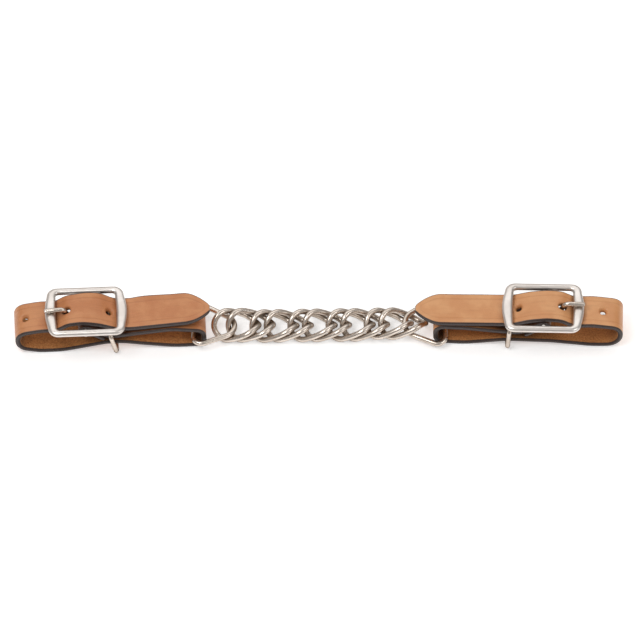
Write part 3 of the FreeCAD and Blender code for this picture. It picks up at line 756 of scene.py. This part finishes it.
def make_ring(end, material):
    """A triangular ring of round wire; its bar lies in the leather's fold, its round apex in the chain."""
    way = -end["side"]
    reach = RING_DEPTH + RING_APEX_RADIUS * (1 / math.sin(RING_HALF_ANGLE) - 1)
    half_bar = reach * math.tan(RING_HALF_ANGLE)
    corners = [(0.0, -half_bar, RING_BAR_RADIUS), (way * reach, 0.0, RING_APEX_RADIUS),
               (0.0, half_bar, RING_BAR_RADIUS)]
    points = [Vector((p.x, p.y, 0.0)) for p in rounded_path(corners, LOOP_STEPS, closed=True)]
    work = bmesh.new()
    add_tube(work, points, round_section(RING_RADIUS), around=AROUND_THICK_WIRE)
    yaw, pitch, roll = (math.radians(a) for a in end["ring_turn"])
    turn = Euler((roll, pitch, yaw), "XYZ").to_matrix().to_4x4()
    bmesh.ops.transform(work, matrix=Matrix.Translation(end["ring_bar"]) @ turn, verts=work.verts)
    which = end["name"]
    show(f"{which}_ring_wire", work, material, f"{which}_ring", f"{which}_ring")


def link_path():
    """A curb link's mid-line: an oval whose straight sides are twisted about the chain."""
    half_high = LINK_WIDTH / 2 - CHAIN_RADIUS
    half_long = LINK_LENGTH / 2 - CHAIN_RADIUS
    arc = half_high * LINK_ARC_SHARE
    corners = [(half_long, half_high, arc), (-half_long, half_high, arc),
               (-half_long, -half_high, arc), (half_long, -half_high, arc)]
    points = []
    for p in rounded_path(corners, LINK_STEPS, closed=True):
        twist = -LINK_TWIST / 2 * p.x / half_long
        points.append(Vector((p.x, p.y * math.cos(twist), p.y * math.sin(twist))))
    return points


def make_link(number, material):
    """One link of the double-link chain, at its place in its pair and rolled as it lies."""
    pair, second = divmod(number - 1, 2)
    x = (pair - (PAIR_COUNT - 1) / 2) * PAIR_PITCH + (second - 0.5) * PAIR_GAP + CHAIN_MIDDLE[0]
    roll, rise = LINK_LIE.get(number, (0.0, 0.0))
    work = bmesh.new()
    add_tube(work, link_path(), round_section(CHAIN_RADIUS), around=AROUND_THICK_WIRE)
    spot = Matrix.Translation((x, CHAIN_MIDDLE[1] + math.tan(CHAIN_YAW) * x, CHAIN_MIDDLE[2] + rise))
    turn = Matrix.Rotation(CHAIN_YAW, 4, "Z") @ Matrix.Rotation(math.radians(roll), 4, "X")
    bmesh.ops.transform(work, matrix=spot @ turn, verts=work.verts)
    name = f"chain_link_{number:02d}"
    show(f"{name}_wire", work, material, name, name)


# ---------------------------------------------------------------- materials

class Nodes:
    """A short way to wire a material's nodes."""

    def __init__(self, name):
        self.material = bpy.data.materials.new(name)
        self.material.use_nodes = True
        self.tree = self.material.node_tree
        self.shader = self.tree.nodes["Principled BSDF"]

    def add(self, kind, inputs=(), **settings):
        node = self.tree.nodes.new(f"ShaderNode{kind}")
        for key, value in settings.items():
            setattr(node, key, value)
        for key, value in dict(inputs).items():
            self.plug(value, node.inputs[key])
        return node

    def plug(self, value, socket):
        if isinstance(value, bpy.types.NodeSocket):
            self.tree.links.new(value, socket)
        else:
            socket.default_value = value

    def attribute(self, name):
        return self.add("Attribute", attribute_name=name).outputs["Fac"]

    def math(self, operation, a, b=0.0, clamp=False):
        node = self.add("Math", operation=operation, use_clamp=clamp)
        self.plug(a, node.inputs[0])
        self.plug(b, node.inputs[1])
        return node.outputs[0]

    def ramp(self, value, low, high, to_low=0.0, to_high=1.0):
        node = self.add("MapRange", {"Value": value, "From Min": low, "From Max": high,
                                     "To Min": to_low, "To Max": to_high}, interpolation_type="SMOOTHSTEP")
        return node.outputs["Result"]

    def mix(self, share, a, b):
        node = self.add("Mix", data_type="RGBA")
        self.plug(share, node.inputs[0])
        for socket, value in ((node.inputs[6], a), (node.inputs[7], b)):
            self.plug(value if isinstance(value, bpy.types.NodeSocket) else (*value, 1.0), socket)
        return node.outputs[2]

    def noise(self, vector, scale, detail, roughness=0.5):
        node = self.add("TexNoise", {"Vector": vector, "Scale": scale, "Detail": detail,
                                     "Roughness": roughness})
        return node.outputs["Fac"]

    def shaded(self, distance):
        """How open a spot is within a distance: 1 in the open, 0 deep between other surfaces."""
        return self.add("AmbientOcclusion", {"Distance": distance}).outputs["AO"]

    def set(self, **inputs):
        for key, value in inputs.items():
            self.plug(value, self.shader.inputs[key.replace("_", " ")])


def linear(red, green, blue):
    """An sRGB colour, 0 to 255, as linear light."""
    out = []
    for value in (red, green, blue):
        share = value / 255
        out.append(share / 12.92 if share <= 0.04045 else ((share + 0.055) / 1.055) ** 2.4)
    return tuple(out)


def leather_material(name, grain, worn, dark, seed):
    """Oiled harness leather: smooth grain outside, suede flesh inside, and inked, burnished edges."""
    # a dark brown painted as shade: between the layers, and on the grain towards the hidden tail
    painted_shade = linear(58, 34, 24)
    n = Nodes(name)
    along, across, edge = n.attribute("along"), n.attribute("across"), n.attribute("edge")
    side, bend = n.attribute("side"), n.attribute("bend")

    # patterns that lie in the hide: even ones in millimetres, and ones drawn out along the strap
    skin = n.add("CombineXYZ", {"X": along, "Y": across, "Z": n.math("ADD", side, seed)}).outputs[0]
    clouds = n.noise(skin, 0.11, 4.0, 0.55)
    pores = n.noise(skin, 3.4, 3.0, 0.6)
    fibres = n.noise(skin, 1.5, 5.0, 0.75)
    flow = n.add("CombineXYZ", {"X": n.math("MULTIPLY", along, 0.05), "Y": n.math("MULTIPLY", across, 0.42),
                                "Z": seed}).outputs[0]
    streaks = n.noise(flow, 1.6, 5.0, 0.62)
    hair = n.add("CombineXYZ", {"X": n.math("MULTIPLY", along, 0.16), "Y": n.math("MULTIPLY", across, 2.3),
                                "Z": seed + 3}).outputs[0]
    hairlines = n.noise(hair, 1.0, 4.0, 0.7)

    # the grain side: worn clouds, darker streaks and pores, wrinkles at the bends, and the pressed creases
    colour = n.mix(n.ramp(clouds, 0.36, 0.66), grain, worn)
    colour = n.mix(n.math("MULTIPLY", n.ramp(streaks, 0.50, 0.76), 0.13), colour, dark)
    colour = n.mix(n.math("MULTIPLY", n.ramp(pores, 0.46, 0.7), 0.16), colour, dark)
    bent = n.math("MULTIPLY", bend, 6.0, clamp=True)
    wrinkling = n.math("ADD", n.math("MULTIPLY", bent, 0.25), 0.07)
    colour = n.mix(n.math("MULTIPLY", n.ramp(hairlines, 0.50, 0.64), wrinkling), colour, dark)
    from_crease = n.math("ABSOLUTE", n.math("SUBTRACT", edge, CREASE_INSET))
    crease = n.ramp(from_crease, 0.05, 0.55, 1.0, 0.0)
    colour = n.mix(n.math("MULTIPLY", crease, 0.15), colour, dark)
    # painted shade: the grain darkens towards the tail, where it lies close under the billet
    colour = n.mix(n.ramp(along, 30.0, 52.0, 0.85, 0.0), colour, painted_shade)

    # the flesh side: suede, with painted shade in the folds and towards the hidden tail
    flesh = n.mix(n.ramp(fibres, 0.3, 0.7), linear(150, 95, 50), linear(204, 144, 86))
    folded = n.ramp(n.math("ABSOLUTE", bend), 0.10, 0.32, 0.0, 0.8)
    hidden = n.ramp(along, 24.0, 40.0, 0.85, 0.0)
    flesh = n.mix(n.math("MAXIMUM", folded, hidden), flesh, linear(46, 30, 21))
    inside = n.ramp(side, -0.15, 0.15, 1.0, 0.0)
    colour = n.mix(inside, colour, flesh)

    # painted shade between the layers, where other surfaces lie close, and ink that bleeds unevenly over
    # the edges
    colour = n.mix(n.ramp(n.shaded(0.0055), 0.10, 0.62, 0.82, 0.0), colour, painted_shade)
    ragged = n.math("ADD", edge, n.math("MULTIPLY", n.math("SUBTRACT", pores, 0.5), 0.28))
    ink = n.mix(n.ramp(pores, 0.35, 0.7), linear(50, 40, 38), linear(72, 58, 52))
    colour = n.mix(n.ramp(ragged, 0.50, 0.78, 1.0, 0.0), colour, ink)

    # the grain is oiled and a little glossy, the flesh is rough
    rough = n.math("ADD", n.ramp(clouds, 0.3, 0.7, 0.36, 0.46), n.math("MULTIPLY", inside, 0.40))
    relief = n.math("ADD", n.math("MULTIPLY", pores, 0.5), n.math("MULTIPLY", hairlines, 0.35))
    suede = n.math("MULTIPLY", n.math("MULTIPLY", fibres, inside), 1.4)
    bump = n.add("Bump", {"Height": n.math("ADD", relief, suede), "Strength": 0.28, "Distance": 0.00025})
    gloss = n.math("MULTIPLY", n.math("SUBTRACT", 1.0, inside, clamp=True), 0.14)
    n.set(Base_Color=colour, Roughness=rough, Normal=bump.outputs[0])
    n.set(Coat_Weight=gloss, Coat_Roughness=0.25, Specular_IOR_Level=0.40)
    return n.material


def metal_material(name, bright, dull, edge, roughness, crevice_shade_share):
    """Metal, plated or painted dark as shade: soft drifts of colour and gloss, and painted shade, a dark
    brown, where pieces lie close to each other or to the floor.
    """
    n = Nodes(name)
    where = n.add("TexCoord").outputs["Object"]
    patches = n.noise(where, 210.0, 3.0)
    scuffs = n.noise(where, 640.0, 2.0)
    colour = n.mix(n.ramp(patches, 0.36, 0.68), bright, dull)
    # painted shade: a dark brown where other surfaces, the floor too, lie close
    crevice_shade = n.ramp(n.shaded(0.0045), 0.25, 0.85, crevice_shade_share, 0.0)
    n.set(Base_Color=n.mix(crevice_shade, colour, (0.20, 0.145, 0.10)), Metallic=1.0)
    rough = n.math("ADD", n.ramp(patches, 0.3, 0.7, roughness * 0.9, roughness * 1.1),
                   n.math("MULTIPLY", n.ramp(scuffs, 0.45, 0.7), 0.035))
    bump = n.add("Bump", {"Height": patches, "Strength": 0.05, "Distance": 0.00008})
    n.set(Roughness=rough, Normal=bump.outputs[0], Specular_Tint=(*edge, 1.0))
    return n.material


def floor_material():
    """A pale studio floor that glows a little, so that it stays white under the soft light."""
    n = Nodes("pale_floor")
    where = n.add("TexCoord").outputs["Object"]
    tone = n.ramp(n.noise(where, 6.0, 2.0), 0.3, 0.7, 0.90, 0.92)
    shade = n.add("CombineColor", {"Red": tone, "Green": tone, "Blue": tone}).outputs[0]
    n.set(Base_Color=shade, Roughness=0.7, Specular_IOR_Level=0.1)
    n.set(Emission_Color=(1.0, 1.0, 1.0, 1.0), Emission_Strength=FLOOR_GLOW)
    return n.material


# ---------------------------------------------------------------- the scene

def make_floor():
    """A plain flat floor under the strap."""
    work = bmesh.new()
    bmesh.ops.create_grid(work, x_segments=2, y_segments=2, size=FLOOR_SIZE)
    mesh = bpy.data.meshes.new("floor")
    work.to_mesh(mesh)
    work.free()
    mesh.materials.append(floor_material())
    floor = bpy.data.objects.new("floor", mesh)
    bpy.context.scene.collection.objects.link(floor)


def make_lights():
    """Soft boxes over the strap, and a faint even sky."""
    for name, (place, power, size) in SOFT_BOXES.items():
        data = bpy.data.lights.new(name, "AREA")
        data.energy = power
        data.shape = "RECTANGLE"
        data.size, data.size_y = size
        light = bpy.data.objects.new(name, data)
        bpy.context.scene.collection.objects.link(light)
        light.location = place
        light.rotation_euler = (Vector(SOFT_BOX_AIM) - Vector(place)).to_track_quat("-Z", "Y").to_euler()
    world = bpy.data.worlds.new("studio")
    bpy.context.scene.world = world
    world.use_nodes = True
    background = world.node_tree.nodes["Background"]
    background.inputs["Color"].default_value = SKY_COLOUR
    background.inputs["Strength"].default_value = SKY_STRENGTH


def make_camera():
    """A camera far off with a long lens, looking down at the strap."""
    data = bpy.data.cameras.new("camera")
    data.lens = CAMERA_LENS
    data.sensor_width = CAMERA_SENSOR
    camera = bpy.data.objects.new("camera", data)
    bpy.context.scene.collection.objects.link(camera)
    distance = SHOWN_WIDTH / data.sensor_width * data.lens
    towards = Vector((0, -math.cos(CAMERA_ELEVATION), math.sin(CAMERA_ELEVATION)))
    camera.location = Vector(CAMERA_AIM) + towards * distance
    camera.rotation_euler = (math.pi / 2 - CAMERA_ELEVATION, 0, 0)
    bpy.context.scene.camera = camera
    bpy.context.scene.view_settings.view_transform = "Standard"


def main():
    left_hide = leather_material("left_leather_hide", grain=linear(197, 127, 80),
                                 worn=linear(209, 143, 95), dark=linear(128, 70, 40), seed=LEFT["seed"])
    right_hide = leather_material("right_leather_hide", grain=linear(213, 148, 96),
                                  worn=linear(224, 164, 112), dark=linear(150, 90, 52), seed=RIGHT["seed"])
    nickel = metal_material("nickel_cast", bright=(0.84, 0.785, 0.74), dull=(0.77, 0.71, 0.66),
                            edge=(0.45, 0.38, 0.33), roughness=0.36, crevice_shade_share=0.0)
    wire = metal_material("steel_wire_plated", bright=(0.80, 0.705, 0.625), dull=(0.66, 0.57, 0.49),
                          edge=(0.10, 0.07, 0.05), roughness=0.28, crevice_shade_share=0.72)
    # the rivet sits in shade under the billet, so its metal is painted dark as that shade
    rivet = metal_material("rivet_dark_as_shade", bright=(0.26, 0.235, 0.21), dull=(0.16, 0.14, 0.125),
                           edge=(0.3, 0.3, 0.3), roughness=0.38, crevice_shade_share=0.3)
    for end, hide in ((LEFT, left_hide), (RIGHT, right_hide)):
        make_leather(end, hide)
        make_frame(end, nickel)
        make_tongue(end, wire)
        make_keeper(end, wire)
        make_rivet(end, rivet)
        make_ring(end, wire)
    for number in range(1, 2 * PAIR_COUNT + 1):
        make_link(number, wire)
    make_floor()
    make_lights()
    make_camera()


main()
